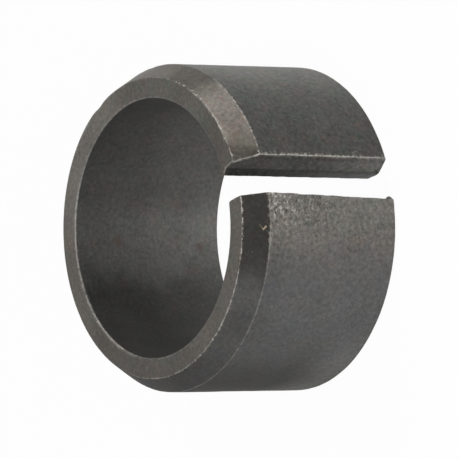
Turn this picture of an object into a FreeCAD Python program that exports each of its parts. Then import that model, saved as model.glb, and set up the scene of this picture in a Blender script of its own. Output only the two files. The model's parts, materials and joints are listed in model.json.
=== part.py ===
import FreeCAD, Part
import Sketcher

import math
import os

# A split clamping bush. A strip of spring steel is rolled to a ring, and its two cut ends, the
# lips, face each other across an open slot. One end of the ring has a long lead-in chamfer that
# guides it into its housing, and the bore takes a pin or a shaft.
#
# The bush stands on its plain end at z = 0, with its axis on +Z and the chamfered end on top.
# The slot opens towards -Y: its left lip is at -X, and its right lip at +X.
# The left lip is cut square, parallel to the slot's middle plane, but askew along the axis.
# The right lip has two faces: a land beside the bore and a bevel up to the rim. Their common
# edge, the knee, is hollow at the chamfered end and stands proud at the plain end.

NODE = "split_bushing"

# How a sketch numbers the points of a line or circle, and its own horizontal axis, whose first
# point is the origin.
START, END, CENTRE = range(1, 4)
X_AXIS = ORIGIN = -1

SIZES = {
    # Ring, in millimetres. The wall is the strip's thickness.
    "outer_diameter": 38.0,
    "wall_thickness": 4.0,
    "ring_length": 21.0,
    "lead_chamfer_length": 2.75,
    "lead_chamfer_degrees": 30.0,
    "edge_break": 0.15,
    # Left lip: distance from the slot's middle plane at each end of the ring.
    "left_gap_top": 1.75,
    "left_gap_bottom": 2.5,
    "left_corner_radius": 0.6,
    # Right lip at the chamfered end: distances from the middle plane at the bore, knee and rim.
    "right_bore_gap_top": 1.4,
    "right_knee_gap_top": 2.08,
    "right_rim_gap_top": 2.68,
    "knee_height_top": 0.75,
    # Right lip at the plain end.
    "right_bore_gap_bottom": 1.22,
    "right_knee_gap_bottom": 1.12,
    "right_rim_gap_bottom": 2.45,
    "knee_height_bottom": 1.95,
    # How far the slot's outline runs past the wall on both sides, so that the cut is clean.
    "slot_overrun": 1.0,
    # Burr left by the shear at the left lip's rim corner, at the plain end.
    "burr_height": 0.42,
    "burr_half_width": 0.45,
    "burr_half_depth": 0.27,
    "burr_rim_margin": 0.05,
    "burr_end_margin": 0.05,
}

FULL_TURN = "360 deg"
RIGHT_ANGLE = 90

# The two radii as the sketches read them from the spreadsheet.
OUTER_RADIUS = "sizes.outer_diameter / 2"
BORE_RADIUS = "sizes.outer_diameter / 2 - sizes.wall_thickness"


def make_sheet(doc):
    """The driving sizes as a spreadsheet, one alias for each."""
    sheet = doc.addObject("Spreadsheet::Sheet", "sizes")
    for row, (name, value) in enumerate(SIZES.items(), start=1):
        sheet.set(f"A{row}", name)
        sheet.set(f"B{row}", str(value))
        sheet.setAlias(f"B{row}", name)
    doc.recompute()
    return sheet


def radii(sheet):
    """The outer radius and the bore radius."""
    outer = sheet.outer_diameter / 2
    return outer, outer - sheet.wall_thickness


def origin_plane(body, role):
    """The body's own origin plane with this role."""
    return next(item for item in body.Origin.OriginFeatures if item.Role == role)


def new_sketch(body, name, role):
    """An empty sketch on one of the body's origin planes."""
    sketch = body.newObject("Sketcher::SketchObject", name)
    sketch.AttachmentSupport = (origin_plane(body, role), [""])
    sketch.MapMode = "FlatFace"
    return sketch


def constrain(sketch, *arguments):
    """Adds one constraint."""
    sketch.addConstraint(Sketcher.Constraint(*arguments))


def drive(sketch, name, expression, *arguments):
    """Adds one named constraint and binds it to the spreadsheet."""
    index = sketch.addConstraint(Sketcher.Constraint(*arguments))
    sketch.renameConstraint(index, name)
    sketch.setExpression(f"Constraints.{name}", expression)


def add_outline(sketch, points):
    """A closed outline of straight lines through the points. Line i starts at point i."""
    corners = [FreeCAD.Vector(x, y, 0) for x, y in points]
    following = corners[1:] + corners[:1]
    for start, end in zip(corners, following):
        sketch.addGeometry(Part.LineSegment(start, end), False)
    count = len(corners)
    for line in range(count):
        constrain(sketch, "Coincident", line, END, (line + 1) % count, START)


def add_guide_circle(sketch, radius):
    """A construction circle about the sketch's origin."""
    centre = FreeCAD.Vector(0, 0, 0)
    circle = sketch.addGeometry(Part.Circle(centre, FreeCAD.Vector(0, 0, 1), radius), True)
    constrain(sketch, "Coincident", circle, CENTRE, ORIGIN, START)
    return circle


def make_ring(body, sheet):
    """The full ring: its wall section turned about the axis."""
    outer, bore = radii(sheet)
    top = sheet.ring_length
    chamfer_start = top - sheet.lead_chamfer_length
    run_in = sheet.lead_chamfer_length * math.tan(math.radians(sheet.lead_chamfer_degrees))
    section = new_sketch(body, "wall_section", "XZ_Plane")
    bottom_edge, outside, chamfer, top_edge, inside = range(5)
    add_outline(section, [
        (bore, 0), (outer, 0), (outer, chamfer_start), (outer - run_in, top), (bore, top),
    ])
    constrain(section, "PointOnObject", bottom_edge, START, X_AXIS)
    constrain(section, "Horizontal", bottom_edge)
    constrain(section, "Vertical", outside)
    constrain(section, "Horizontal", top_edge)
    constrain(section, "Vertical", inside)
    drive(section, "outer_radius", OUTER_RADIUS,
          "DistanceX", ORIGIN, START, outside, START, outer)
    drive(section, "bore_radius", BORE_RADIUS,
          "DistanceX", ORIGIN, START, inside, START, bore)
    drive(section, "length", "sizes.ring_length",
          "DistanceY", bottom_edge, START, top_edge, START, top)
    drive(section, "chamfer_length", "sizes.lead_chamfer_length",
          "DistanceY", chamfer, START, chamfer, END, sheet.lead_chamfer_length)
    drive(section, "chamfer_angle", f"({RIGHT_ANGLE} + sizes.lead_chamfer_degrees) * 1 deg",
          "Angle", chamfer, math.radians(RIGHT_ANGLE + sheet.lead_chamfer_degrees))

    ring = body.newObject("PartDesign::Revolution", "ring")
    ring.Profile = (section, [""])
    ring.ReferenceAxis = (section, ["V_Axis"])
    ring.Angle = FULL_TURN


def slot_outline(body, sheet, end):
    """
    The slot's outline at one end of the ring, "top" or "bottom".

    It runs up the left flank, across the rim side, down the right bevel and the right land, and
    back through the bore. Corners on the bore, the knee and the rim lie on circles about the axis.
    """
    outer, bore = radii(sheet)
    left = sheet.get(f"left_gap_{end}")
    bore_gap = sheet.get(f"right_bore_gap_{end}")
    knee_gap = sheet.get(f"right_knee_gap_{end}")
    rim_gap = sheet.get(f"right_rim_gap_{end}")
    knee = bore + sheet.get(f"knee_height_{end}")
    inner_side = bore - sheet.slot_overrun
    outer_side = outer + sheet.slot_overrun

    knee_depth = math.sqrt(knee ** 2 - knee_gap ** 2)
    rim_depth = math.sqrt(outer ** 2 - rim_gap ** 2)
    bevel_slope = (rim_gap - knee_gap) / (rim_depth - knee_depth)
    outer_corner = rim_gap + bevel_slope * (outer_side - rim_depth)

    outline = new_sketch(body, f"slot_{end}", "XY_Plane")
    left_flank, outer_closing, bevel, land, right_inner, inner_closing = range(6)
    add_outline(outline, [
        (-left, -inner_side), (-left, -outer_side), (outer_corner, -outer_side),
        (knee_gap, -knee_depth), (bore_gap, -math.sqrt(bore ** 2 - bore_gap ** 2)),
        (bore_gap, -inner_side),
    ])
    bore_circle = add_guide_circle(outline, bore)
    knee_circle = add_guide_circle(outline, knee)
    rim_circle = add_guide_circle(outline, outer)
    rim_point = outline.addGeometry(Part.Point(FreeCAD.Vector(rim_gap, -rim_depth, 0)), True)

    drive(outline, "bore_radius", BORE_RADIUS, "Radius", bore_circle, bore)
    drive(outline, "knee_radius", f"{BORE_RADIUS} + sizes.knee_height_{end}",
          "Radius", knee_circle, knee)
    drive(outline, "rim_radius", OUTER_RADIUS, "Radius", rim_circle, outer)

    constrain(outline, "Vertical", left_flank)
    constrain(outline, "Horizontal", outer_closing)
    constrain(outline, "Vertical", right_inner)
    constrain(outline, "Horizontal", inner_closing)
    constrain(outline, "PointOnObject", land, START, knee_circle)
    constrain(outline, "PointOnObject", land, END, bore_circle)
    constrain(outline, "PointOnObject", rim_point, START, rim_circle)
    constrain(outline, "PointOnObject", rim_point, START, bevel)
    drive(outline, "left_gap", f"sizes.left_gap_{end}",
          "DistanceX", left_flank, START, ORIGIN, START, left)
    drive(outline, "bore_gap", f"sizes.right_bore_gap_{end}",
          "DistanceX", ORIGIN, START, right_inner, START, bore_gap)
    drive(outline, "knee_gap", f"sizes.right_knee_gap_{end}",
          "DistanceX", ORIGIN, START, land, START, knee_gap)
    drive(outline, "rim_gap", f"sizes.right_rim_gap_{end}",
          "DistanceX", ORIGIN, START, rim_point, START, rim_gap)
    drive(outline, "inner_side", f"{BORE_RADIUS} - sizes.slot_overrun",
          "DistanceY", inner_closing, START, ORIGIN, START, inner_side)
    drive(outline, "outer_side", f"{OUTER_RADIUS} + sizes.slot_overrun",
          "DistanceY", outer_closing, START, ORIGIN, START, outer_side)
    return outline


def cut_slot(body, sheet):
    """The slot, cut as a loft from its outline at the plain end to the one at the chamfered end."""
    bottom = slot_outline(body, sheet, "bottom")
    top = slot_outline(body, sheet, "top")
    top.setExpression(".AttachmentOffset.Base.z", "sizes.ring_length")
    slot = body.newObject("PartDesign::SubtractiveLoft", "slot")
    slot.Profile = (bottom, [""])
    slot.Sections = [(top, [""])]
    slot.Ruled = True
    return slot


def edges_through(shape, points):
    """The names of the edges that pass through the points, one for each point."""
    names = []
    for point in points:
        vertex = Part.Vertex(FreeCAD.Vector(*point))
        gaps = [edge.distToShape(vertex)[0] for edge in shape.Edges]
        names.append(f"Edge{gaps.index(min(gaps)) + 1}")
    return names


def round_left_corner(body, sheet, slot):
    """The left lip's corner at the bore, rounded along the whole ring."""
    bore = radii(sheet)[1]
    gap = (sheet.left_gap_top + sheet.left_gap_bottom) / 2
    corner = (-gap, -math.sqrt(bore ** 2 - gap ** 2), sheet.ring_length / 2)
    rounding = body.newObject("PartDesign::Fillet", "left_corner")
    rounding.Base = (slot, edges_through(slot.Shape, [corner]))
    rounding.setExpression("Radius", "sizes.left_corner_radius")
    return rounding


def break_edges(body, sheet, rounding):
    """The sharp round edges broken: both ends of the bore, and the plain end's rim."""
    outer, bore = radii(sheet)
    breaks = body.newObject("PartDesign::Chamfer", "edge_breaks")
    breaks.Base = (rounding, edges_through(rounding.Shape, [
        (0, bore, 0), (0, bore, sheet.ring_length), (0, outer, 0),
    ]))
    breaks.setExpression("Size", "sizes.edge_break")


def add_burr(body):
    """The burr: a small rounded nub on the left flank, just inside the rim and the plain end."""
    burr = body.newObject("PartDesign::AdditiveEllipsoid", "burr")
    burr.AttachmentSupport = (origin_plane(body, "XY_Plane"), [""])
    burr.MapMode = "FlatFace"
    burr.setExpression("Radius1", "sizes.burr_half_width")
    burr.setExpression("Radius2", "sizes.burr_height")
    burr.setExpression("Radius3", "sizes.burr_half_depth")
    burr.setExpression(".AttachmentOffset.Base.x", "-sizes.left_gap_bottom")
    burr.setExpression(
        ".AttachmentOffset.Base.y",
        "sizes.burr_half_depth"
        f" - sqrt(({OUTER_RADIUS} - sizes.burr_rim_margin) ^ 2 - sizes.left_gap_bottom ^ 2)")
    burr.setExpression(".AttachmentOffset.Base.z", "sizes.burr_half_width + sizes.burr_end_margin")


def make_bushing(doc, sheet):
    """The whole bush as one body."""
    body = doc.addObject("PartDesign::Body", NODE)
    body.Label = NODE
    make_ring(body, sheet)
    slot = cut_slot(body, sheet)
    doc.recompute()
    rounding = round_left_corner(body, sheet, slot)
    doc.recompute()
    break_edges(body, sheet, rounding)
    add_burr(body)
    body.Placement = FreeCAD.Placement()
    doc.recompute()
    return body


def check(doc, body):
    """Stops on a failed object or a shape that is not one valid solid."""
    for item in doc.Objects:
        if "Invalid" in item.State or "Error" in item.State:
            raise RuntimeError(f"{item.Label} failed: {item.State}")
    if body.Shape.isNull() or not body.Shape.isValid() or len(body.Shape.Solids) != 1:
        raise RuntimeError(f"{body.Label} is not one valid solid")


def main():
    doc = FreeCAD.newDocument("bushing")
    sheet = make_sheet(doc)
    body = make_bushing(doc, sheet)
    check(doc, body)
    os.makedirs("parts", exist_ok=True)
    body.Shape.exportStep(f"parts/{body.Label}.step")


main()
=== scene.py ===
import json
import math

import bpy
import numpy as np
from bpy.props import FloatProperty, FloatVectorProperty, IntProperty, PointerProperty
from mathutils import Matrix, Vector


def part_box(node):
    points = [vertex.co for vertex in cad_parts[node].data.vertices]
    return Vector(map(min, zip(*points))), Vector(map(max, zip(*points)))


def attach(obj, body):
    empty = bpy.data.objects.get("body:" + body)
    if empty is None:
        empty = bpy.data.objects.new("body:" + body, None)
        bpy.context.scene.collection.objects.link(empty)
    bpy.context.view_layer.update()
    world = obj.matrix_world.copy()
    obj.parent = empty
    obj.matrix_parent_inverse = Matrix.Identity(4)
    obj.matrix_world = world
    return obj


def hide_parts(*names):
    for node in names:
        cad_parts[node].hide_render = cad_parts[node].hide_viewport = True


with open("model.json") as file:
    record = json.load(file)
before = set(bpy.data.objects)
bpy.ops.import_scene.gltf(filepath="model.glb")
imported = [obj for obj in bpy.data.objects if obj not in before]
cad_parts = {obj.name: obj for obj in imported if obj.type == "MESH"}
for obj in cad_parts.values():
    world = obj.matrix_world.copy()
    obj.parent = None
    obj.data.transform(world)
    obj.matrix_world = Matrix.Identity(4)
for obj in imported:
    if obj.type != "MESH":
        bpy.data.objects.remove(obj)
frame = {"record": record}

bl_info = {
    "name": "Split Mounting Bushing",
    "version": (1, 0, 0),
    "blender": (4, 5, 0),
    "location": "3D View > Sidebar > Bushing",
    "description": "A rolled and slotted spring-steel bushing with a worn black finish, and its stage",
    "category": "Add Mesh",
}

# The ring stands on its plain end at z = 0, with its axis on +Z and the lead-in chamfer on top. The slot
# opens towards -Y: its left lip is at -X and its right lip at +X. Lengths are in metres.

NODE = "split_bushing"
BODY = "root"

MM = 0.001
LOW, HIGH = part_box(NODE)
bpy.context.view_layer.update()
BORE_MOUNT = next(m for m in frame["record"]["mounts"] if m["name"] == "bore")

# Where the slot's middle plane cuts the ring, as an angle about the axis, and one turn on from there.
SLOT_TURN = -math.pi / 2
FULL_TURN = 2 * math.pi

# The surfaces of the ring, as the numbers that its faces carry.
PLAIN_END, OUTSIDE, CHAMFER, TOP_FACE, BORE, LEFT_CUT, RIGHT_CUT = range(7)
SURFACE = "surface"


def length(name, description, millimetres):
    """A size as a user sees it, in the scene's own unit."""
    return FloatProperty(name=name, description=description, default=millimetres * MM, unit="LENGTH",
                         precision=5)


def share(name, description, default):
    """A number from 0 to 1."""
    return FloatProperty(name=name, description=description, default=default, min=0, max=1,
                         subtype="FACTOR")


def colour(name, description, default):
    """A colour, as linear red, green and blue."""
    return FloatVectorProperty(name=name, description=description, default=default, size=3, min=0, max=1,
                               subtype="COLOR")


class RingSizes(bpy.types.PropertyGroup):
    """The rolled ring's sizes. The outside, the length and the bore come from the frame."""

    outer_radius: length("Outside radius", "Radius of the outside", (HIGH.x - LOW.x) / 2 / MM)
    bore_radius: length("Bore radius", "Radius of the bore", BORE_MOUNT["dims"]["r_mm"])
    ring_length: length("Length", "Length along the axis", (HIGH.z - LOW.z) / MM)
    chamfer_length: length("Chamfer length", "Length of the lead-in chamfer along the axis", 2.75)
    chamfer_angle: FloatProperty(name="Chamfer angle", description="Angle of the chamfer from the axis",
                                 default=math.radians(30), unit="ROTATION")
    edge_break: length("Edge break", "Bevel of the bore's two edges and the plain end's rim", 0.15)
    crest_break: length("Crest break", "Worn bevel between the top face and the chamfer", 0.05)
    shoulder_ease: length("Shoulder ease", "Softness of the edge between chamfer and outside", 0.04)
    turns: IntProperty(name="Steps round", description="Steps of the mesh round the ring",
                       default=408, min=24)
    columns: IntProperty(name="Steps across", description="Steps of the mesh across the wall",
                         default=24, min=6)


class LipSizes(bpy.types.PropertyGroup):
    """The two cut ends. Gaps are distances from the slot's middle plane."""

    left_top: length("Left gap, top", "Left lip's gap at the chamfered end", 1.75)
    left_bottom: length("Left gap, bottom", "Left lip's gap at the plain end", 2.5)
    left_corner: length("Left corner", "Radius of the left lip's corner at the bore", 0.6)
    bore_top: length("Bore gap, top", "Right lip's gap at the bore, chamfered end", 1.4)
    bore_bottom: length("Bore gap, bottom", "Right lip's gap at the bore, plain end", 1.22)
    knee_top: length("Knee gap, top", "Right lip's gap at the knee, chamfered end", 2.08)
    knee_bottom: length("Knee gap, bottom", "Right lip's gap at the knee, plain end", 1.12)
    rim_top: length("Rim gap, top", "Right lip's gap at the rim, chamfered end", 2.68)
    rim_bottom: length("Rim gap, bottom", "Right lip's gap at the rim, plain end", 2.45)
    knee_height_top: length("Knee height, top", "Knee's height over the bore, chamfered end", 0.75)
    knee_height_bottom: length("Knee height, bottom", "Knee's height over the bore, plain end", 1.95)
    knee_ease: length("Knee ease", "Softness of the bend at the knee", 0.25)
    bevel_crown: length("Bevel crown", "How far the bevel bulges at the chamfered end", 0.15)
    burr_height: length("Burr height", "How far the burr stands into the slot", 0.42)
    burr_length: length("Burr length", "Half the burr's length along the axis", 0.45)
    burr_depth: length("Burr depth", "Half the burr's depth across the wall", 0.27)
    burr_margin: length("Burr margin", "From the burr to the rim and to the plain end", 0.05)


class WearSizes(bpy.types.PropertyGroup):
    """How far rolling, shearing and handling have moved the surface."""

    roll_depth: length("Rolling waves", "Depth of the faint waves left by rolling", 0.014)
    dimple_depth: length("Dimples", "Depth of the dimples on the left lip", 0.05)
    shear_depth: length("Shear marks", "Depth of the marks on the two cut faces", 0.04)
    chip_depth: length("Chips", "Depth of the chips along the crest of the chamfer", 0.07)
    dent_depth: length("Dent", "Depth of the dent in the crest of the chamfer", 0.16)
    flare_height: length("Flare", "How far the crest of the chamfer stands out beside the dent", 0.16)
    seed: IntProperty(name="Seed", description="Starts the random marks", default=11)


def stretches(*runs):
    """Rising positions from 0, in runs of even steps. A run is its end and about how long a step is."""
    positions = [0.0]
    for end, pitch in runs:
        start = positions[-1]
        steps = max(1, round((end - start) / pitch))
        positions.extend(start + (end - start) * np.arange(1, steps + 1) / steps)
    return np.array(positions)


def smooth(values):
    """0 below 0, 1 above 1, and the curve 3t^2 - 2t^3 between."""
    clipped = np.clip(values, 0, 1)
    return clipped * clipped * (3 - 2 * clipped)


def bell(distance, width):
    """1 at distance 0, falling as exp(-(distance / width)^2)."""
    return np.exp(-(distance / width) ** 2)


def lumps(points, pitch, seed):
    """
    Smooth noise from -1 to 1 at the points.

    Random numbers sit on a cubic lattice of that pitch, which repeats every 32 cells. Each point blends
    the eight corners of its cell, with the weight 3t^2 - 2t^3 along each axis.
    """
    cells = 32
    lattice = np.random.default_rng(seed).uniform(-1, 1, (cells, cells, cells))
    places = points / pitch
    corner = np.floor(places).astype(int)
    weight = smooth(places - corner)
    total = np.zeros(len(points))
    for step in np.ndindex(2, 2, 2):
        near = np.where(step, weight, 1 - weight).prod(axis=1)
        x, y, z = ((corner + step) % cells).T
        total += near * lattice[x, y, z]
    return total


def slope_of(sizes):
    """How far the chamfer runs in for each length along the axis."""
    return math.tan(sizes.chamfer_angle)


def wall_section(sizes):
    """
    The wall's section as a grid of radius and height: rows along the axis, columns across the wall.

    The inner side is the bore radius, with the edge break added at both ends. The outer side is the
    outside radius, less the edge break at the plain end, less slope * (u + sqrt(u^2 + ease^2)) / 2 for
    the height u above the chamfer's start, less the crest break at the top.
    """
    shoulder = sizes.ring_length - sizes.chamfer_length
    near, close, past_burr = 0.35 * MM, 0.1 * MM, 1.35 * MM
    heights = stretches(
        (sizes.edge_break, 0.05 * MM), (past_burr, 0.11 * MM),
        (shoulder - near, 0.33 * MM), (shoulder - close, 0.08 * MM), (shoulder + close, 0.033 * MM),
        (shoulder + near, 0.08 * MM), (sizes.ring_length - near, 0.24 * MM),
        (sizes.ring_length - sizes.crest_break, 0.06 * MM), (sizes.ring_length, 0.025 * MM))
    above_break = np.maximum(sizes.edge_break - heights, 0)
    below_top = np.maximum(sizes.edge_break - (sizes.ring_length - heights), 0)
    crest = np.maximum(sizes.crest_break - (sizes.ring_length - heights), 0)
    rise = heights - shoulder
    run_in = slope_of(sizes) * (rise + np.sqrt(rise ** 2 + sizes.shoulder_ease ** 2)) / 2
    inner = sizes.bore_radius + above_break + below_top
    outer = sizes.outer_radius - above_break - run_in - crest
    even = np.linspace(0, 1, sizes.columns)
    across = 0.5 * even + 0.25 * (1 - np.cos(math.pi * even))
    radius = inner[:, None] + across * (outer - inner)[:, None]
    return radius, np.repeat(heights[:, None], sizes.columns, axis=1)


def corner_line(sizes, gaps, radii, height):
    """A lip corner at each height: its gap and its depth, both in line between the ring's two ends."""
    part = height / sizes.ring_length
    depths = [math.sqrt(radius ** 2 - gap ** 2) for gap, radius in zip(gaps, radii)]
    return tuple(bottom + part * (top - bottom) for bottom, top in (gaps, depths))


def right_lip(sizes, lips, radius, height):
    """
    The right cut face, as its angle from the slot's middle plane at each radius and height.

    Its gap follows two lines, the land and the bevel, which bend at the knee: knee gap + mean slope * u
    + half the change of slope * sqrt(u^2 + ease^2), for the depth u past the knee, less a crown of
    sin(pi * v) along the bevel. Depth and gap are refined in turn, since depth^2 = radius^2 - gap^2.
    """
    bore, outer = sizes.bore_radius, sizes.outer_radius
    bore_gap, bore_depth = corner_line(sizes, (lips.bore_bottom, lips.bore_top), (bore, bore), height)
    knee_gap, knee_depth = corner_line(
        sizes, (lips.knee_bottom, lips.knee_top),
        (bore + lips.knee_height_bottom, bore + lips.knee_height_top), height)
    rim_gap, rim_depth = corner_line(sizes, (lips.rim_bottom, lips.rim_top), (outer, outer), height)
    land = (knee_gap - bore_gap) / (knee_depth - bore_depth)
    bevel = (rim_gap - knee_gap) / (rim_depth - knee_depth)
    crown = lips.bevel_crown * height / sizes.ring_length
    gap = knee_gap
    for _ in range(4):
        past = np.sqrt(radius ** 2 - gap ** 2) - knee_depth
        bend = np.sqrt(past ** 2 + lips.knee_ease ** 2)
        along = np.clip(past / (rim_depth - knee_depth), 0, 1)
        gap = knee_gap + (land + bevel) / 2 * past + (bevel - land) / 2 * bend
        gap = gap - crown * np.sin(math.pi * along)
    return np.arcsin(gap / radius)


def left_lip(sizes, lips, radius, height):
    """
    The left cut face, as its angle from the slot's middle plane at each radius and height.

    It is a plane whose gap runs in line between the ring's ends. Its corner at the bore is an arc that
    touches the bore and the plane: by the law of cosines, the arc's point at a radius lies off the
    direction of its centre by acos((r^2 + c^2 - a^2) / (2 r c)).
    """
    gap = lips.left_bottom + height / sizes.ring_length * (lips.left_top - lips.left_bottom)
    arc = lips.left_corner
    centre = sizes.bore_radius + arc
    meeting = np.sqrt(gap ** 2 + centre ** 2 - (gap + arc) ** 2)
    cosine = (radius ** 2 + centre ** 2 - arc ** 2) / (2 * radius * centre)
    rounded = np.arcsin((gap + arc) / centre) - np.arccos(np.clip(cosine, -1, 1))
    return np.where(radius < meeting, rounded, np.arcsin(gap / radius))


def steps_round(count):
    """Shares from 0 to 1 along the ring, closer together near both lips."""
    crowding, reach, samples = 1.6, 0.02, 4001
    even = np.linspace(0, 1, samples)
    density = 1 + crowding * (np.exp(-even / reach) + np.exp(-(1 - even) / reach))
    total = np.concatenate(([0], np.cumsum((density[1:] + density[:-1]) / 2)))
    return np.interp(np.linspace(0, total[-1], count + 1), total, even)


def round_points(radius, turn, height):
    """Points from cylinder coordinates, as rows of x, y and z."""
    return np.stack(np.broadcast_arrays(radius * np.cos(turn), radius * np.sin(turn), height), axis=-1)


def outline_of(rows, columns):
    """The rows and columns of a grid's outline: across the first row, up the last column, and back."""
    row, column = np.arange(rows), np.arange(columns)
    outline_rows = [np.full(columns - 1, 0), row[:-1], np.full(columns - 1, rows - 1), row[:0:-1]]
    outline_columns = [column[:-1], np.full(rows - 1, columns - 1), column[:0:-1], np.full(rows - 1, 0)]
    return np.concatenate(outline_rows), np.concatenate(outline_columns)


def numbered(grid, first=0):
    """A number for each point of a grid, counted on from the first."""
    return first + np.arange(grid.size // 3).reshape(grid.shape[:2])


def lip_turns(sizes, lips, radius, height):
    """The angles of the right and of the left cut face at each radius and height."""
    right = SLOT_TURN + right_lip(sizes, lips, radius, height)
    left = SLOT_TURN + FULL_TURN - left_lip(sizes, lips, radius, height)
    return right, left


def carried_round(sizes, lips, radius, height):
    """
    An outline carried round the ring from the right lip to the left lip, as a grid of points.

    At the share s of the way its angle is in line between two angles beside the lips, plus the right
    lip's own offset times (1 - s)^20, plus the left lip's times s^20.
    """
    settled = 20
    beside_lip = math.radians(7)
    start = SLOT_TURN + beside_lip
    end = SLOT_TURN + FULL_TURN - beside_lip
    right, left = lip_turns(sizes, lips, radius, height)
    part = steps_round(sizes.turns)[:, None]
    turn = start + part * (end - start)
    turn = turn + (right - start) * (1 - part) ** settled + (left - end) * part ** settled
    return round_points(radius, turn, height)


def ring_grids(sizes, lips):
    """
    The closed skin of the ring: its points, its quads and the surface that each quad belongs to.

    The outline of the wall's section is carried round the ring. The section's grid closes each end, and
    shares its rim with the outline.
    """
    radius, height = wall_section(sizes)
    rows, columns = radius.shape
    outline = outline_of(rows, columns)
    skin = carried_round(sizes, lips, radius[outline], height[outline])
    ring_numbers = numbered(skin)
    following = np.roll(ring_numbers, -1, axis=1)
    wall = np.stack([ring_numbers[:-1], ring_numbers[1:], following[1:], following[:-1]], axis=-1)
    shoulder = sizes.ring_length - sizes.chamfer_length
    strips = np.concatenate([
        np.full(columns - 1, PLAIN_END),
        np.where(height[:-1, -1] < shoulder, OUTSIDE, CHAMFER),
        np.full(columns - 1, TOP_FACE),
        np.full(rows - 1, BORE),
    ])

    points = [skin.reshape(-1, 3)]
    quads = [wall.reshape(-1, 4)]
    surfaces = [np.tile(strips, sizes.turns)]
    right, left = lip_turns(sizes, lips, radius, height)
    for turn, rim, kind in ((right, ring_numbers[0], RIGHT_CUT), (left, ring_numbers[-1], LEFT_CUT)):
        inside = round_points(radius, turn, height)[1:-1, 1:-1]
        numbers = np.zeros((rows, columns), int)
        numbers[outline] = rim
        numbers[1:-1, 1:-1] = numbered(inside, first=sum(map(len, points)))
        corners = [numbers[:-1, :-1], numbers[1:, :-1], numbers[1:, 1:], numbers[:-1, 1:]]
        if kind == RIGHT_CUT:
            corners.reverse()
        points.append(inside.reshape(-1, 3))
        quads.append(np.stack(corners, axis=-1).reshape(-1, 4))
        surfaces.append(np.full((rows - 1) * (columns - 1), kind))
    return np.concatenate(points), np.concatenate(quads), np.concatenate(surfaces)


def edge_distance(points, radius, height):
    """Distance of each point from a round edge at that radius and height."""
    return np.hypot(np.hypot(points[:, 0], points[:, 1]) - radius, points[:, 2] - height)


# Places round the crest of the chamfer, as turns from +X in degrees. Each is a middle and a width, and
# the chipped stretch also has a soft border.
FLARE = (30, 26)
DENT = (18, 3)
CHIPPED = (-52, 38, 14)


def near_slot(points):
    """Whether each point is on the slot's side of the ring, within reach of the slot's middle plane."""
    reach = 8 * MM
    return (points[:, 1] < 0) & (np.abs(points[:, 0]) < reach)


def rolled(sizes, lips, wear, points):
    """
    How far rolling moves each point outward.

    The waves are noise, drawn in on the outside, and only what is above 0 on the bore. The dimples are
    noise above a level, times a bell about the outside and a bell past the left lip.
    """
    wave, ripple, dimple = 2.6 * MM, 1.1 * MM, 0.62 * MM
    skin, patch_width = 0.8 * MM, 5.5 * MM
    drawn_in, dimple_level = 1.2, -0.15
    radius = np.hypot(points[:, 0], points[:, 1])
    outside, bore_side = bell(radius - sizes.outer_radius, skin), bell(radius - sizes.bore_radius, skin)
    waves = lumps(points, wave, wear.seed) + 0.6 * lumps(points, ripple, wear.seed + 1)
    outward = wear.roll_depth * (outside * (waves - drawn_in) + 0.7 * bore_side * waves * (waves > 0))

    past_left = np.maximum(-points[:, 0] - lips.left_top, 0)
    patch = outside * near_slot(points) * (points[:, 0] < 0) * bell(past_left, patch_width)
    dimples = np.maximum(lumps(points, dimple, wear.seed + 2) - dimple_level, 0)
    return outward - wear.dimple_depth * patch * dimples


def chipped(sizes, wear, points):
    """
    How far wear at the chamfer's two edges moves each point outward.

    Chips and scallops are noise above 0, times a bell about the crest, and deeper where it is chipped.
    The flare and the dent are bells about the crest, times bells about a turn. Finer noise above 0 breaks
    the shoulder.
    """
    chip, scallop, shoulder_chip = 0.5 * MM, 1.25 * MM, 0.45 * MM
    chip_reach, flare_reach, dent_reach, shoulder_reach = 0.28 * MM, 1.4 * MM, 1.1 * MM, 0.22 * MM
    middle, half_width, border = CHIPPED
    turn = np.degrees(np.arctan2(points[:, 1], points[:, 0]))
    crest_radius = sizes.outer_radius - slope_of(sizes) * sizes.chamfer_length
    from_crest = edge_distance(points, crest_radius, sizes.ring_length)
    from_shoulder = edge_distance(points, sizes.outer_radius, sizes.ring_length - sizes.chamfer_length)
    stretch = smooth((half_width - np.abs(turn - middle)) / border)
    chips = 0.7 * np.maximum(lumps(points, chip, wear.seed + 3), 0)
    scallops = np.maximum(lumps(points, scallop, wear.seed + 4), 0)
    broken = np.maximum(lumps(points, shoulder_chip, wear.seed + 5), 0)
    crest = 0.4 * chips + 0.2 * scallops + stretch * (chips + 2.2 * scallops)
    crest *= bell(from_crest, chip_reach)
    shoulder = 0.5 * bell(from_shoulder, shoulder_reach) * broken
    flare = bell(from_crest, flare_reach) * bell(turn - FLARE[0], FLARE[1])
    dent = bell(from_crest, dent_reach) * bell(turn - DENT[0], DENT[1])
    return wear.flare_height * flare - wear.dent_depth * dent - wear.chip_depth * (crest + shoulder)


def sheared(lips, wear, points):
    """How far shearing moves each point along +X: noise, times a bell past each cut face."""
    coarse, fine, reach, bias = 0.9 * MM, 0.4 * MM, 0.5 * MM, 0.2
    marks = lumps(points, coarse, wear.seed + 6) + 0.5 * lumps(points, fine, wear.seed + 7)
    cut_gap = np.where(points[:, 0] > 0, lips.rim_bottom, lips.left_bottom)
    at_cut = near_slot(points) * bell(np.maximum(np.abs(points[:, 0]) - cut_gap, 0), reach)
    return np.sign(points[:, 0]) * wear.shear_depth * at_cut * (marks + bias)


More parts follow.
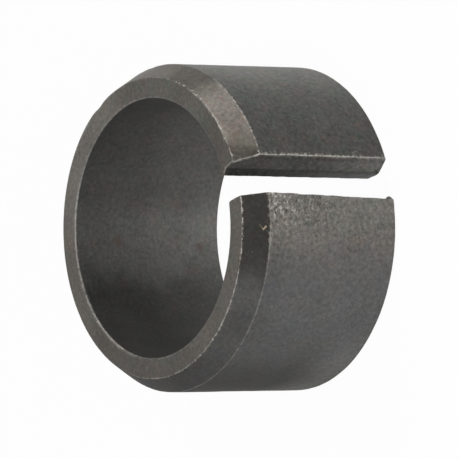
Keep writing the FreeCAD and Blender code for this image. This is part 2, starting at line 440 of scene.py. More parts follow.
def burr(sizes, lips, points):
    """How far the burr stands out of the left cut face: sqrt(1 - d^2), at the distance d from its middle."""
    slack = 0.3 * MM
    rim_depth = math.sqrt((sizes.outer_radius - lips.burr_margin) ** 2 - lips.left_bottom ** 2)
    away = np.hypot((-points[:, 1] - rim_depth + lips.burr_depth) / lips.burr_depth,
                    (points[:, 2] - lips.burr_length - lips.burr_margin) / lips.burr_length)
    on_left_cut = (points[:, 1] < 0) & (points[:, 0] < 0) & (points[:, 0] > -lips.left_bottom - slack)
    return lips.burr_height * np.sqrt(np.maximum(1 - away ** 2, 0)) * on_left_cut


def roll_and_wear(sizes, lips, wear, points):
    """
    The points, moved by the marks of rolling, shearing and wear.

    Each mark depends on the place alone, so points that coincide stay together. A point that comes to
    lie past the outside radius is drawn back to it.
    """
    x, y, z = points.T
    outward = rolled(sizes, lips, wear, points) + chipped(sizes, wear, points)
    across = sheared(lips, wear, points) + burr(sizes, lips, points)
    factor = 1 + outward / np.hypot(x, y)
    moved = np.stack([x * factor + across, y * factor, z], axis=1)
    radius = np.hypot(moved[:, 0], moved[:, 1])
    moved[:, :2] *= (np.minimum(radius, sizes.outer_radius) / radius)[:, None]
    return moved


def make_mesh(name, points, quads, surfaces):
    """A smooth mesh of those quads, sharp where its faces turn by more than 24 degrees."""
    mesh = bpy.data.meshes.new(name)
    mesh.vertices.add(len(points))
    mesh.vertices.foreach_set("co", points.astype(np.float32).ravel())
    mesh.loops.add(quads.size)
    mesh.loops.foreach_set("vertex_index", quads.astype(np.int32).ravel())
    mesh.polygons.add(len(quads))
    mesh.polygons.foreach_set("loop_start", np.arange(0, quads.size, 4, dtype=np.int32))
    mesh.update(calc_edges=True)
    numbers = mesh.attributes.new(SURFACE, "FLOAT", "FACE")
    numbers.data.foreach_set("value", surfaces.astype(np.float32))
    mesh.validate()
    mesh.shade_smooth()
    mesh.set_sharp_from_angle(angle=math.radians(24))
    return mesh


def put_in_scene(name, data):
    """A new object with that data, in the scene."""
    made = bpy.data.objects.new(name, data)
    bpy.context.scene.collection.objects.link(made)
    return made


def maths(operation, reflected=False):
    """A method of Amount that adds one Math node."""
    def method(self, *others):
        terms = (*others, self) if reflected else (self, *others)
        return self.nodes.sum(operation, *terms)
    return method


class Amount:
    """A number that varies over the surface: a node's socket, in sums written as plain expressions."""

    def __init__(self, nodes, socket):
        self.nodes = nodes
        self.socket = socket

    __add__, __radd__ = maths("ADD"), maths("ADD", reflected=True)
    __sub__, __rsub__ = maths("SUBTRACT"), maths("SUBTRACT", reflected=True)
    __mul__, __rmul__ = maths("MULTIPLY"), maths("MULTIPLY", reflected=True)
    __truediv__ = maths("DIVIDE")
    __pow__ = maths("POWER")
    __abs__ = maths("ABSOLUTE")
    __lt__ = maths("LESS_THAN")
    __gt__ = maths("GREATER_THAN")


class Nodes:
    """A node tree under construction."""

    # Where a Mix node has its factor, its two colours and their mix.
    MIX_FACTOR, MIX_A, MIX_B, MIX_RESULT = 0, 6, 7, 2

    def __init__(self, tree):
        self.tree = tree
        tree.nodes.clear()

    def node(self, kind, settings=None, sockets=None):
        """A new node of that kind. Its settings come first, then its sockets: values or links."""
        made = self.tree.nodes.new(kind)
        for name, value in (settings or {}).items():
            setattr(made, name, value)
        for name, value in (sockets or {}).items():
            value = value.socket if isinstance(value, Amount) else value
            if isinstance(value, bpy.types.NodeSocket):
                self.tree.links.new(value, made.inputs[name])
            else:
                made.inputs[name].default_value = value
        return made

    def sum(self, operation, *terms):
        """One Math node."""
        made = self.node("ShaderNodeMath", {"operation": operation}, dict(enumerate(terms)))
        return Amount(self, made.outputs[0])

    def ramp(self, amount, low, high):
        """0 where the amount is below low, 1 above high, and a smooth step between."""
        made = self.node("ShaderNodeMapRange", {"interpolation_type": "SMOOTHSTEP"},
                         {"Value": amount, "From Min": low, "From Max": high})
        return Amount(self, made.outputs["Result"])

    def near(self, distance, width):
        """1 at distance 0, falling smoothly to 0 at that width."""
        return 1 - self.ramp(distance, 0.0, width)

    def noise(self, places, scale, detail=2.0, roughness=0.5, warp=0.0):
        """Smooth noise about 0.5, with features of about 1 / scale."""
        made = self.node("ShaderNodeTexNoise", None, {
            "Vector": places, "Scale": scale, "Detail": detail, "Roughness": roughness, "Distortion": warp})
        return Amount(self, made.outputs["Fac"])

    def specks(self, places, scale):
        """The distance from the nearest of scattered points, and a random number for each point."""
        made = self.node("ShaderNodeTexVoronoi", None, {"Vector": places, "Scale": scale})
        parts = self.node("ShaderNodeSeparateColor", None, {"Color": made.outputs["Color"]})
        return Amount(self, made.outputs["Distance"]), Amount(self, parts.outputs[0])

    def layered(self, base, *layers):
        """A colour with others laid over it in turn. A layer is its factor, and its colour or a link."""
        for factor, paint in layers:
            paint = paint if isinstance(paint, bpy.types.NodeSocket) else opaque(paint)
            mix = self.node("ShaderNodeMix", {"data_type": "RGBA"},
                            {self.MIX_FACTOR: factor, self.MIX_A: base, self.MIX_B: paint})
            base = mix.outputs[self.MIX_RESULT]
        return base

    def scaled(self, vector, amount):
        """A vector or colour times a number."""
        made = self.node("ShaderNodeVectorMath", {"operation": "SCALE"}, {0: vector, "Scale": amount})
        return made.outputs["Vector"]

    def stretched(self, vector, factors):
        """A vector with each part times its own factor."""
        made = self.node("ShaderNodeVectorMath", {"operation": "MULTIPLY"}, {0: vector, 1: factors})
        return made.outputs["Vector"]


def new_material(name):
    """A material with an empty node tree, and the tree."""
    material = bpy.data.materials.new(name)
    material.use_nodes = True
    return material, Nodes(material.node_tree)


def opaque(rgb):
    """A colour with full alpha."""
    return (*rgb, 1.0)


class SteelLook(bpy.types.PropertyGroup):
    """Colours of the black finish, of what wear has done to it, and of painted shade and edge highlights."""

    black: colour("Black finish", "The finish where it is whole", (0.1035, 0.101, 0.0938))
    warm: colour("Warm finish", "The finish of the top face and the chamfer", (0.11, 0.1, 0.0885))
    rust: colour("Rusty finish", "The finish of the chamfer beside the right lip", (0.139, 0.127, 0.111))
    olive: colour("Olive finish", "Olive spots on the chamfer beside the right lip", (0.145, 0.14, 0.108))
    # Bare metal also paints the highlights along the edges.
    bare: colour("Bare metal", "Metal at worn edges and scratches", (0.42, 0.395, 0.36))
    brown: colour("Brown bloom", "Brown and reddish bloom in the finish", (0.145, 0.1, 0.082))
    green: colour("Green bloom", "Faint green bloom in the finish", (0.09, 0.106, 0.086))
    blue: colour("Blue bloom", "Faint blue bloom in the finish", (0.093, 0.096, 0.109))
    # The dark colour also paints shade on the right cut face and the shadow at the burr.
    dark: colour("Dark finish", "The finish at its darkest", (0.03, 0.03, 0.03))
    pit: colour("Pits", "Pits in the finish beside the left lip", (0.07, 0.062, 0.055))
    tan: colour("Tan fleck", "A fleck of tan on the chamfer", (0.46, 0.38, 0.27))
    roughness: share("Roughness", "Roughness of the black finish", 0.55)
    metallic: share("Metallic", "How metallic the black finish is", 0.2)
    specular: share("Specular", "How strongly the black finish mirrors", 0.15)


def dot(first, second):
    """The sum of the products of two lists of three."""
    return first[0] * second[0] + first[1] * second[1] + first[2] * second[2]


class RingPlace:
    """
    Where a point of the finish lies, in millimetres and degrees.

    Besides x, y and z it holds the radius, the part of the length, the number of its surface, and the turn
    about the axis, which runs from 0 at the slot round the right lip's side, and so on to the left lip.
    The ring's outside radius, its top and its shoulder are plain numbers.
    """

    def __init__(self, nodes, sizes):
        coordinates = nodes.node("ShaderNodeTexCoord")
        self.nodes = nodes
        self.vector = nodes.scaled(coordinates.outputs["Object"], 1 / MM)
        parts = nodes.node("ShaderNodeSeparateXYZ", None, {"Vector": self.vector})
        self.x, self.y, self.z = (Amount(nodes, parts.outputs[axis]) for axis in "XYZ")
        self.radius = (self.x * self.x + self.y * self.y) ** 0.5
        self.turn = nodes.sum("ARCTAN2", self.x, 0 - self.y) * math.degrees(1)
        self.turn = nodes.sum("WRAP", self.turn, 360, 0)
        self.part = self.z / (sizes.ring_length / MM)
        self.outer = sizes.outer_radius / MM
        self.top = sizes.ring_length / MM
        self.shoulder = self.top - sizes.chamfer_length / MM
        self.past_shoulder = nodes.sum("MAXIMUM", self.z - self.shoulder, 0)
        surface = nodes.node("ShaderNodeAttribute", {"attribute_name": SURFACE})
        self.kind = Amount(nodes, surface.outputs["Fac"])

    def on(self, surface):
        """1 on that surface of the ring, and 0 elsewhere."""
        return abs(self.kind - surface) < 0.5

    def from_edge(self, radius, height):
        """Distance from the round edge at that radius and height."""
        across, along = self.radius - radius, self.z - height
        return (across * across + along * along) ** 0.5

    def turned(self, middle, reach, fade):
        """1 within that reach of a turn, falling to 0 over the fade, in degrees."""
        return 1 - self.nodes.ramp(abs(self.turn - middle), reach, reach + fade)

    def along(self, plain_end, top):
        """A value that runs in line from the plain end to the top face."""
        return plain_end + (top - plain_end) * self.part

    def from_point(self, centre):
        """Distance from a point."""
        offsets = self.offsets(centre)
        return dot(offsets, offsets) ** 0.5

    def offsets(self, point):
        """How far x, y and z are past a point."""
        return [value - middle for value, middle in zip((self.x, self.y, self.z), point)]

    def stroke(self, start, end, start_width, end_width):
        """1 along the straight line between two points, falling to 0 at a width that changes along it."""
        run = [last - first for first, last in zip(start, end)]
        offsets = self.offsets(start)
        along = dot(offsets, run) / dot(run, run)
        along = self.nodes.sum("MINIMUM", self.nodes.sum("MAXIMUM", along, 0), 1)
        gaps = [offset - along * step for offset, step in zip(offsets, run)]
        width = start_width + (end_width - start_width) * along
        return self.nodes.near(dot(gaps, gaps) ** 0.5 / width, 1.0)


# Patches where the finish is lighter and darker, partly wear and partly painted light and shade. Beside the
# left lip the outside is rubbed light; the lighter outside about 64 degrees, the darker outside and chamfer
# about 256 degrees and the bore's zones are painted light and shade. Each is its surface; its middle, half
# width and soft border, as turns from the slot in degrees; its change of tone; and, where it doesn't run the
# whole length, the heights between which it fades in.
WEAR_AND_LIGHT_PATCHES = (
    (OUTSIDE, 352, 8, 20, 0.42),
    (OUTSIDE, 330, 12, 40, 0.55),
    (OUTSIDE, 256, 10, 30, -0.36),
    (OUTSIDE, 265, 14, 30, 0.95, (8.5, 1.0)),
    (OUTSIDE, 316, 12, 16, -0.22, (14.0, 18.0)),
    (OUTSIDE, 20, 12, 16, -0.2),
    (OUTSIDE, 64, 8, 24, 0.4),
    (OUTSIDE, 36, 3, 9, 0.1),
    (CHAMFER, 342, 12, 16, -0.62),
    (CHAMFER, 300, 20, 30, -0.06),
    (CHAMFER, 255, 14, 28, -0.25),
    (CHAMFER, 322, 4, 12, 0.15),
    (CHAMFER, 26, 8, 13, 0.58),
    (CHAMFER, 5, 4, 14, -0.55),
    (CHAMFER, 54, 5, 10, -0.32),
    (CHAMFER, 82, 8, 14, 0.25),
    (TOP_FACE, 130, 18, 26, 0.32),
    (TOP_FACE, 245, 25, 20, -0.18),
    (TOP_FACE, 8, 18, 20, -0.2),
    (BORE, 115, 40, 30, 0.26),
    (BORE, 170, 8, 18, 0.42),
    (BORE, 172, 8, 14, 0.15, (20.0, 10.0)),
    (BORE, 218, 28, 26, -0.47),
    (BORE, 102, 14, 22, 0.14, (17.0, 5.0)),
    (BORE, 204, 10, 16, 0.22, (14.0, 5.0)),
    (RIGHT_CUT, 0, 30, 10, 0.25),
    (RIGHT_CUT, 0, 30, 10, 0.45, (13.0, 4.0)),
)

# Single light flecks: the place in millimetres, the size and the strength.
FLECKS = (
    ((-14.68, -12.07, 8.14), 0.13, 0.9),
    ((-6.68, -17.79, 10.53), 0.13, 0.6),
    ((-6.9, -17.7, 11.96), 0.12, 0.6),
    ((-3.55, -18.66, 3.01), 0.12, 0.6),
    ((12.77, -12.79, 19.86), 0.16, 0.6),
    ((14.5, -9.7, 21.0), 0.17, 0.8),
    ((12.6, -12.2, 20.9), 0.24, 0.8),
    ((11.9, -12.98, 20.9), 0.2, 0.7),
    ((11.15, -13.43, 20.9), 0.22, 0.7),
    ((10.15, -14.2, 20.9), 0.2, 0.7),
    ((14.66, -7.73, 21.0), 0.12, 0.4),
    ((-15.18, 5.52, 21.0), 0.13, 0.6),
    ((11.43, -15.17, 18.27), 0.15, 0.6),
    ((9.85, -16.25, 18.27), 0.15, 0.7),
    ((8.33, -17.07, 18.27), 0.17, 0.7),
    ((-2.76, -18.8, 17.39), 0.22, 0.5),
    ((-3.09, -18.75, 16.58), 0.24, 0.55),
    ((-3.99, -18.58, 17.66), 0.16, 0.5),
    ((-5.64, -18.14, 18.16), 0.22, 0.5),
    ((-6.39, -17.89, 18.25), 0.26, 0.6),
    ((-3.98, -18.58, 16.09), 0.18, 0.4),
)

# Single brownish stains, in the same way.
STAINS = (
    ((6.83, -17.73, 2.28), 0.8, 0.6),
    ((5.62, -17.22, 19.79), 1.3, 0.4),
    ((6.99, -16.74, 19.76), 0.9, 0.3),
    ((3.2, 14.66, 14.8), 1.1, 0.7),
    ((2.53, 14.79, 2.8), 0.9, 0.7),
    ((-3.31, -18.71, 0.92), 0.35, 0.5),
)

# Marks drawn out along a line: its two ends, its width at each, and the strength.
DARK_MARKS_AND_SHADOW = (
    ((2.13, -17.6, 11.2), (1.59, -16.4, 9.7), 0.2, 0.25, 0.4),
    ((2.31, -18.16, 10.4), (1.7, -16.82, 8.7), 0.15, 0.3, 0.3),
    ((2.33, -17.99, 13.45), (1.83, -16.65, 12.0), 0.3, 0.15, 0.25),
    ((1.41, -17.27, 0.6), (1.2, -16.9, 0.1), 0.35, 0.45, 0.8),
    # The last mark, at the burr by the plain end, is painted shadow.
    ((-2.48, -18.84, 1.0), (-2.4, -18.8, 0.75), 0.14, 0.18, 0.9),
)
LIGHT_MARKS = (
    ((-3.13, -18.74, 1.49), (-3.6, -18.66, 0.32), 0.14, 0.16, 0.35),
    ((3.04, -18.76, 4.85), (3.31, -18.71, 4.02), 0.07, 0.07, 0.5),
    ((3.31, -18.71, 4.02), (2.67, -18.81, 3.81), 0.07, 0.07, 0.4),
    ((1.1, -15.7, 0.5), (1.1, -16.5, 0.1), 0.1, 0.14, 0.5),
    ((2.5, -17.2, 21.0), (2.08, -15.61, 21.0), 0.13, 0.13, 0.42),
    ((2.08, -15.61, 21.0), (1.42, -14.95, 20.95), 0.15, 0.2, 0.6),
)

# The tan fleck on the chamfer, in the same way: a thin tail, then a thicker hook.
TAN_FLECK = (
    ((-5.25, -17.61, 19.33), (-5.88, -17.66, 18.94), 0.04, 0.11, 0.6),
    ((-5.88, -17.66, 18.94), (-5.64, -17.88, 18.71), 0.13, 0.19, 1.0),
)

# The middle of the olive zone at the chamfer's end, beside the right lip.
OLIVE_END = (4.1, -17.75, 19.6)

# On the right cut face painted shade darkens the land, which faces into the slot, up to this depth, at the
# plain end and at the top face, and darkens the bevel under the rim, coming in between these radii.
LAND_DEPTH = (17.15, 15.75)
UNDER_RIM = (18.1, 18.45)

# Wear along the ring's round edges, partly bare metal and partly painted highlight. Each row is the edge;
# the width of its band; how far the band is whole, or UNBROKEN; its strength; and, where it doesn't run all
# round, its middle, half width and soft border, as turns from the slot in degrees.
UNBROKEN = 1.0
EDGE_WEAR_AND_HIGHLIGHT = (
    ("crest", 0.2, 0.12, 0.75, (32, 18, 12)),
    ("crest", 0.17, 0.2, 0.4, (328, 24, 18)),
    ("crest", 0.12, 0.2, 0.2),
    ("crest", 0.1, 0.35, 0.3, (272, 24, 14)),
    ("shoulder", 0.15, 0.1, 0.7, (20, 16, 10)),
    ("shoulder", 0.22, 0.12, 0.7, (12, 6, 6)),
    ("shoulder", 0.14, 0.3, 0.25),
    ("shoulder", 0.12, UNBROKEN, 0.2, (290, 40, 12)),
    ("mouth", 0.16, 0.4, 0.28),
    ("mouth", 0.2, 0.1, 0.2, (195, 40, 20)),
    ("mouth", 0.17, UNBROKEN, 0.14, (90, 80, 20)),
    ("mouth", 0.4, UNBROKEN, 0.16, (212, 20, 16)),
    ("heel", 0.12, 0.25, 0.35),
)


class FinishGrain:
    """The grain of the finish, and the parts of the ring where it is smoother."""

    def __init__(self, place):
        self.grain = place.nodes.noise(place.vector, 2.0, detail=3.0, roughness=0.6)
        self.fine = place.nodes.noise(place.vector, 6.0, roughness=0.6)
        self.smooth_side = place.on(OUTSIDE) * place.turned(295, 28, 18)
        self.smooth_chamfer = place.on(CHAMFER) * place.turned(285, 38, 18)
        finer = 0.35 * (place.on(BORE) + self.smooth_side + place.on(TOP_FACE))
        self.coarse = 1 - finer - 0.3 * place.on(CHAMFER) - 0.15 * self.smooth_chamfer


def wear_and_light_tone(place):
    """How light the finish is, where 1 is even: the patches of wear and of painted light and shade, with
    uneven borders, and the bore's painted light towards the plain end.
    """
    nodes = place.nodes
    ragged = 14 * (nodes.noise(place.vector, 0.45, detail=3.0) - 0.5)
    tone = 1
    for surface, middle, reach, fade, change, *heights in WEAR_AND_LIGHT_PATCHES:
        patch = place.on(surface) * place.turned(middle + ragged, reach, fade)
        for low, high in heights:
            patch = patch * nodes.ramp(place.z, low, high)
        tone = tone + change * patch
    # Painted light: the bore grows lighter towards the plain end.
    deep = 1 - place.part
    return tone * (1 + place.on(BORE) * (0.5 * deep - 0.18))


def finish_level(place, finish):
    """How light the finish is: its patches, partly painted light and shade, times a mottle of clouds, grain,
    fine grain and glints.
    """
    nodes = place.nodes
    cloud = nodes.noise(place.vector, 0.22)
    glints = nodes.ramp(nodes.noise(place.vector, 3.4, detail=3.0, roughness=0.7), 0.52, 0.7)
    mottle = finish.coarse * (1.6 * (finish.grain - 0.5) + 0.6 * (finish.fine - 0.5) + 0.4 * glints)
    mottle = 0.94 + mottle + (0.5 - 0.2 * finish.smooth_side) * (cloud - 0.5)
    return nodes.sum("MAXIMUM", wear_and_light_tone(place) * mottle, 0.2)


def finish_colour(place, finish, look):
    """
    The colour of the finish at an even level.

    Brown, green and blue blooms are noise over black, which is warmer on the top face and the chamfer.
    Beside the right lip the chamfer is rusty, with brown and olive speckles. On the right cut face the
    land and the rim's underside are darkened with painted shade.
    """
    nodes, vector = place.nodes, place.vector
    bloom = nodes.noise(vector, 0.5, detail=4.0, roughness=0.6)
    moss = nodes.noise(nodes.stretched(vector, (1.0, 1.0, 0.7)), 0.66, detail=4.0)
    haze = nodes.noise(nodes.stretched(vector, (0.7, 1.0, 1.0)), 0.4, detail=4.0)
    speckle = nodes.noise(vector, 0.85, detail=4.0, roughness=0.65)
    warmth = 0.9 * place.on(TOP_FACE) + 0.7 * place.on(CHAMFER) - 0.5 * finish.smooth_chamfer
    warmth = warmth + 0.35 * place.on(OUTSIDE) * place.turned(350, 12, 25)
    mossy = 0.3 * (place.on(TOP_FACE) + place.on(OUTSIDE)) * place.turned(34, 20, 20)
    mossy = 0.4 - 0.25 * finish.smooth_side + mossy
    bluish = place.on(OUTSIDE) * place.turned(308, 14, 18) + 0.8 * finish.smooth_chamfer
    blue = 0.24 * bluish + 0.08 * place.on(BORE) + (0.12 + 0.16 * bluish) * nodes.ramp(haze, 0.45, 0.65)
    rusty = place.on(CHAMFER) * place.turned(30, 24, 20)
    land = nodes.ramp(place.along(*LAND_DEPTH) + place.y, -0.12, 0.12)
    # Painted shade on the right cut face: the land and the bevel under the rim.
    shaded = place.on(RIGHT_CUT) * (0.6 * land + 0.3 * nodes.ramp(place.radius, *UNDER_RIM))
    return nodes.layered(
        opaque(look.black),
        (warmth, look.warm),
        ((0.32 - 0.2 * finish.smooth_side) * nodes.ramp(bloom, 0.5, 0.7), look.brown),
        (mossy * nodes.ramp(moss, 0.46, 0.7), look.green),
        (blue, look.blue),
        (rusty * (0.4 + 0.4 * nodes.ramp(bloom, 0.42, 0.58)), look.rust),
        (rusty * 0.45 * nodes.ramp(speckle, 0.5, 0.66), look.brown),
        (rusty * 0.6 * nodes.ramp(1 - speckle, 0.5, 0.66), look.olive),
        (0.5 * nodes.near(place.from_point(OLIVE_END), 1.6), look.olive),
        (shaded, look.dark),
    )


def left_lip_scale(place):
    """Flecks and pits in the scale beside the left lip, and where its upper corner is, from 0 to 1."""
    nodes, vector = place.nodes, place.vector
    patch = place.on(OUTSIDE) * place.turned(353, 5, 16) * (0.3 + 0.75 * nodes.ramp(place.z, 4, 19))
    strokes = nodes.noise(nodes.stretched(vector, (1.1, 1.6, 1.3)), 1.9, detail=3.0, roughness=0.65)
    ripples = nodes.noise(vector, 1.2, detail=3.0, warp=0.8)
    flecks = patch * (nodes.ramp(strokes, 0.54, 0.64) + 0.6 * nodes.near(abs(ripples - 0.5), 0.035))
    pits = patch * nodes.ramp(nodes.noise(vector, 2.1), 0.55, 0.63)
    corner = nodes.ramp(place.z, 13.5, 17) * place.turned(354, 3, 8)
    return flecks, pits, corner


def rim_distances(place, sizes, lips):
    """Distances from the rims of the right and the left lip, which are straight lines."""
    inset = place.outer - slope_of(sizes) * place.past_shoulder - place.radius
    right = place.x - place.along(lips.rim_bottom / MM, lips.rim_top / MM) + 0.15 * place.past_shoulder
    left = place.x + place.along(lips.left_bottom / MM, lips.left_top / MM)
    return tuple((across * across + inset * inset) ** 0.5 for across in (right, left))


def worn_and_highlit_edges(place, sizes, lips):
    """
    How far the finish is worn to bare metal along the edges, from 0 to 1.

    Each edge is a band about its line. Unless it is unbroken, fine noise varies the band's width and
    coarser noise interrupts it, which leaves a row of flecks where the edge is only touched in places.
    """
    nodes = place.nodes
    ragged = nodes.noise(place.vector, 2.6, roughness=0.7)
    ragged = 0.25 + 2.6 * nodes.ramp(ragged, 0.35, 0.8)
    broken = nodes.noise(place.vector, 1.6, detail=3.0, roughness=0.7)

    def band(distance, width, kept):
        if kept == UNBROKEN:
            return nodes.near(distance, width)
        return nodes.near(distance / ragged, width) * nodes.ramp(broken, 0.58 - kept, 0.72 - kept)

    crest_radius = place.outer - slope_of(sizes) * sizes.chamfer_length / MM
    mouth_radius = (sizes.bore_radius + sizes.edge_break / 2) / MM
    edges = {
        "crest": place.from_edge(crest_radius - 0.03, place.top - 0.02),
        "shoulder": place.from_edge(place.outer, place.shoulder),
        "mouth": place.from_edge(mouth_radius, place.top - 0.07),
        "heel": place.from_edge(place.outer - 0.07, 0.07),
    }
    worn = 0
    for edge, width, kept, strength, *turns in EDGE_WEAR_AND_HIGHLIGHT:
        wear = strength * band(edges[edge], width, kept)
        for turn in turns:
            wear = wear * place.turned(*turn)
        worn = worn + wear
    beside_left = place.turned(349, 10, 12) * (0.3 + 0.7 * place.on(OUTSIDE))
    worn = worn + 0.8 * band(edges["shoulder"], 0.26, 0.18) * beside_left

    # The lips' rims: partly worn bare metal, partly painted highlight.
    right, left = rim_distances(place, sizes, lips)
    bright = 0.6 + 0.4 * nodes.ramp(place.z, 2, 9)
    fading = 1 - 0.6 * nodes.ramp(place.past_shoulder, 0.3, 1.0)
    upper_side = place.on(OUTSIDE) * nodes.ramp(place.z, 9, 16)
    rims = fading * (0.95 * bright * band(right, 0.3, 0.32) + 0.3 * band(right, 0.22, UNBROKEN))
    rims = rims + 0.75 * upper_side * band(right, 0.5, 0.1) + 0.55 * band(left, 0.22, 0.14)
    return nodes.sum("MINIMUM", worn + (place.y < 0) * rims, 1)


def spots(place, table):
    """The single spots of a table, each ragged about its place."""
    ragged = 0.5 + place.nodes.noise(place.vector, 3.5)
    total = 0
    for centre, size, strength in table:
        total = total + strength * place.nodes.near(place.from_point(centre) / ragged, size)
    return total


def marks(place, table):
    """The drawn out marks of a table."""
    total = 0
    for *line, strength in table:
        total = total + strength * place.stroke(*line)
    return total


def make_steel(sizes, lips, look):
    """
    The worn black finish, in Object coordinates taken in millimetres.

    The finish's colour is scaled by its level, which holds painted light and shade besides wear. Laid over
    it in turn are pits and flecks beside the left lip, stains, dark marks with a painted shadow at the burr,
    light flecks, marks and specks, the tan fleck, and bare metal at worn edges with painted highlights along
    them.
    """
    material, nodes = new_material("black_oxide_steel")
    place = RingPlace(nodes, sizes)
    finish = FinishGrain(place)
    flecks, pits, corner = left_lip_scale(place)
    distance, chance = nodes.specks(place.vector, 0.5)
    specks = nodes.near(distance, 0.055) * (chance > 0.72)
    # Bare metal at the worn edges, partly painted highlight.
    worn = worn_and_highlit_edges(place, sizes, lips)
    bare = tuple(look.bare)
    base = nodes.layered(
        nodes.scaled(finish_colour(place, finish, look), finish_level(place, finish)),
        (0.8 * pits, look.pit),
        (0.9 * flecks, nodes.scaled(bare, 0.35 + (1.3 + 1.2 * corner) * finish.fine)),
        (spots(place, STAINS), look.brown),
        (marks(place, DARK_MARKS_AND_SHADOW), look.dark),
        (0.35 * specks + spots(place, FLECKS) + marks(place, LIGHT_MARKS), look.bare),
        (marks(place, TAN_FLECK), look.tan),
        (worn, nodes.scaled(bare, 0.7 + 0.6 * finish.grain)),
    )

    relief = finish.coarse * (0.7 * finish.grain + 0.3 * finish.fine) + 1.4 * flecks
    bump = nodes.node("ShaderNodeBump", None, {"Height": relief, "Strength": 0.35, "Distance": 0.06 * MM})
    thick = (place.on(OUTSIDE) + place.on(CHAMFER)) * place.turned(256, 18, 26)
    bsdf = nodes.node("ShaderNodeBsdfPrincipled", None, {
        "Base Color": base,
        "Roughness": look.roughness + 0.2 * (finish.grain - 0.5) - 0.12 * worn + 0.25 * thick,
        "Metallic": look.metallic + 0.5 * worn,
        "Specular IOR Level": look.specular,
        "Normal": bump.outputs["Normal"],
    })
    nodes.node("ShaderNodeOutputMaterial", None, {"Surface": bsdf.outputs["BSDF"]})
    return material


class BUSHING_OT_split_ring(bpy.types.Operator):
    """Builds the rolled and slotted ring, with its worn surface and its finish"""

    bl_idname = "bushing.split_ring"
    bl_label = "Split ring"

    def execute(self, context):
        scene = context.scene
        sizes, lips = scene.ring_sizes, scene.lip_sizes
        points, quads, surfaces = ring_grids(sizes, lips)
        points = roll_and_wear(sizes, lips, scene.wear_sizes, points)
        mesh = make_mesh("split_bushing_skin", points, quads, surfaces)
        mesh.materials.append(make_steel(sizes, lips, scene.steel_look))
        ring = put_in_scene("split_bushing_skin", mesh)
        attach(ring, BODY)
        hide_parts(NODE)
        return {"FINISHED"}


class StageLook(bpy.types.PropertyGroup):
    """The floor, the lamps and the camera."""

    floor_colour: colour("Floor", "Colour of the pale floor", (0.9, 0.9, 0.9))
    floor_white: share("Floor white", "How far the floor's shadows are lifted to white", 0.955)
    ambient: FloatProperty(name="Ambient", description="Strength of the soft light from all round",
                           default=0.14, min=0)
    lens: FloatProperty(name="Lens", description="Focal length on a sensor 36 mm wide, in millimetres",
                        default=441.0, min=1)


SENSOR_WIDTH = 36.0
CAMERA_PLACE = Vector((-162.9, -494.7, 405.0)) * MM
CAMERA_RIGHT = Vector((-0.18299, -0.57624, -0.79653))
CAMERA_UP = Vector((0.95105, -0.30901, 0.00506))
CAMERA_BACK = CAMERA_RIGHT.cross(CAMERA_UP)

# Each lamp: its direction from the ring as right, up and back in the picture, and its power in watts.
LAMPS = {
    "top_lamp": ((-0.25, 1.0, 0.1), 2.2),
    "left_lamp": ((-1.0, 0.0, 1.0), 3.3),
    "camera_side_lamp": ((0.0, 0.0, 1.0), 1.2),
}
LAMP_DISTANCE = 0.8
LAMP_WIDTH = 0.35


def seen_directly(nodes):
    """1 for rays from the camera and for those mirrored or let through by a surface."""
    path = nodes.node("ShaderNodeLightPath")
    seen = 0
    for name in ("Is Camera Ray", "Is Glossy Ray", "Is Transmission Ray"):
        seen = nodes.sum("MAXIMUM", seen, Amount(nodes, path.outputs[name]))
    return seen


def make_floor(look):
    """A pale floor just under the ring. It is lifted towards white, and keeps the ring's shadow."""
    half, below = 3.0, -0.02 * MM
    corners = [(-half, -half, below), (half, -half, below), (half, half, below), (-half, half, below)]
    mesh = bpy.data.meshes.new("floor")
    mesh.from_pydata(corners, [], [(0, 1, 2, 3)])
    material, nodes = new_material("pale_floor")
    matt = nodes.node("ShaderNodeBsdfDiffuse", None, {"Color": opaque(look.floor_colour)})
    white = nodes.node("ShaderNodeEmission", None, {"Color": (1, 1, 1, 1), "Strength": 1.0})
    mixed = nodes.node("ShaderNodeMixShader", None, {
        0: look.floor_white * seen_directly(nodes), 1: matt.outputs[0], 2: white.outputs[0]})
    nodes.node("ShaderNodeOutputMaterial", None, {"Surface": mixed.outputs[0]})
    mesh.materials.append(material)
    floor = put_in_scene("floor", mesh)


def make_world(look):
    """A world that is white where it is seen, and a soft light elsewhere."""
    world = bpy.data.worlds.new("studio")
    bpy.context.scene.world = world
    world.use_nodes = True
    nodes = Nodes(world.node_tree)
    strength = look.ambient + (1 - look.ambient) * seen_directly(nodes)
    background = nodes.node("ShaderNodeBackground", None, {"Color": (1, 1, 1, 1), "Strength": strength})
    nodes.node("ShaderNodeOutputWorld", None, {"Surface": background.outputs[0]})


def make_lamp(name, direction, power):
    """A round lamp that faces the ring from that direction, given as in LAMPS."""
    right, up, back = direction
    towards = (right * CAMERA_RIGHT + up * CAMERA_UP + back * CAMERA_BACK).normalized()
    light = bpy.data.lights.new(name, "AREA")
    light.shape = "DISK"
    light.size = LAMP_WIDTH
    light.energy = power
    lamp = put_in_scene(name, light)
    lamp.location = Vector((0, 0, HIGH.z / 2)) + towards * LAMP_DISTANCE
    lamp.rotation_euler = towards.to_track_quat("Z", "Y").to_euler()


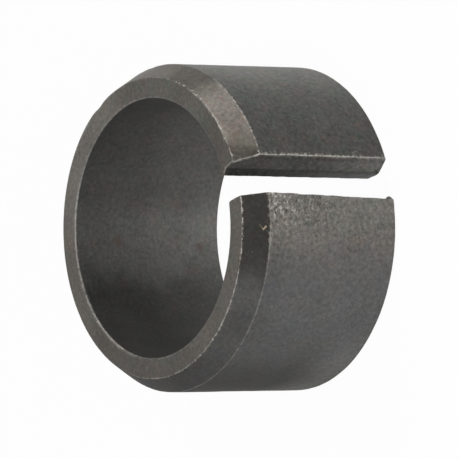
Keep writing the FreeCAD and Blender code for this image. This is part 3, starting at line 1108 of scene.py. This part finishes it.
def make_camera(look):
    """The camera at the photograph's angle."""
    data = bpy.data.cameras.new("camera")
    data.sensor_width = SENSOR_WIDTH
    data.lens = look.lens
    camera = put_in_scene("camera", data)
    camera.matrix_world = Matrix.Translation(CAMERA_PLACE) @ Matrix(
        (CAMERA_RIGHT, CAMERA_UP, CAMERA_BACK)).transposed().to_4x4()
    bpy.context.scene.camera = camera


class BUSHING_OT_stage(bpy.types.Operator):
    """Sets up the pale floor, the soft lamps and the camera"""

    bl_idname = "bushing.stage"
    bl_label = "Stage"

    def execute(self, context):
        scene = context.scene
        make_camera(scene.stage_look)
        make_floor(scene.stage_look)
        make_world(scene.stage_look)
        for name, lamp in LAMPS.items():
            make_lamp(name, *lamp)
        scene.view_settings.view_transform = "Standard"
        return {"FINISHED"}


class BUSHING_PT_panel(bpy.types.Panel):
    """Lists the sizes, the looks and the two operators"""

    bl_idname = "BUSHING_PT_panel"
    bl_label = "Split Mounting Bushing"
    bl_space_type = "VIEW_3D"
    bl_region_type = "UI"
    bl_category = "Bushing"

    def draw(self, context):
        for group in GROUPS:
            box = self.layout.box()
            values = getattr(context.scene, group)
            for name in values.bl_rna.properties.keys():
                if name not in ("rna_type", "name"):
                    box.prop(values, name)
            if group in OPERATORS:
                box.operator(OPERATORS[group].bl_idname)


GROUPS = {"ring_sizes": RingSizes, "lip_sizes": LipSizes, "wear_sizes": WearSizes, "steel_look": SteelLook,
          "stage_look": StageLook}
OPERATORS = {"steel_look": BUSHING_OT_split_ring, "stage_look": BUSHING_OT_stage}
CLASSES = (*GROUPS.values(), *OPERATORS.values(), BUSHING_PT_panel)


def register():
    for cls in CLASSES:
        bpy.utils.register_class(cls)
    for name, group in GROUPS.items():
        setattr(bpy.types.Scene, name, PointerProperty(type=group))


def unregister():
    for name in GROUPS:
        delattr(bpy.types.Scene, name)
    for cls in reversed(CLASSES):
        bpy.utils.unregister_class(cls)


def main():
    """Builds the ring and its stage."""
    register()
    bpy.ops.bushing.split_ring()
    bpy.ops.bushing.stage()


if __name__ == "__main__":
    main()
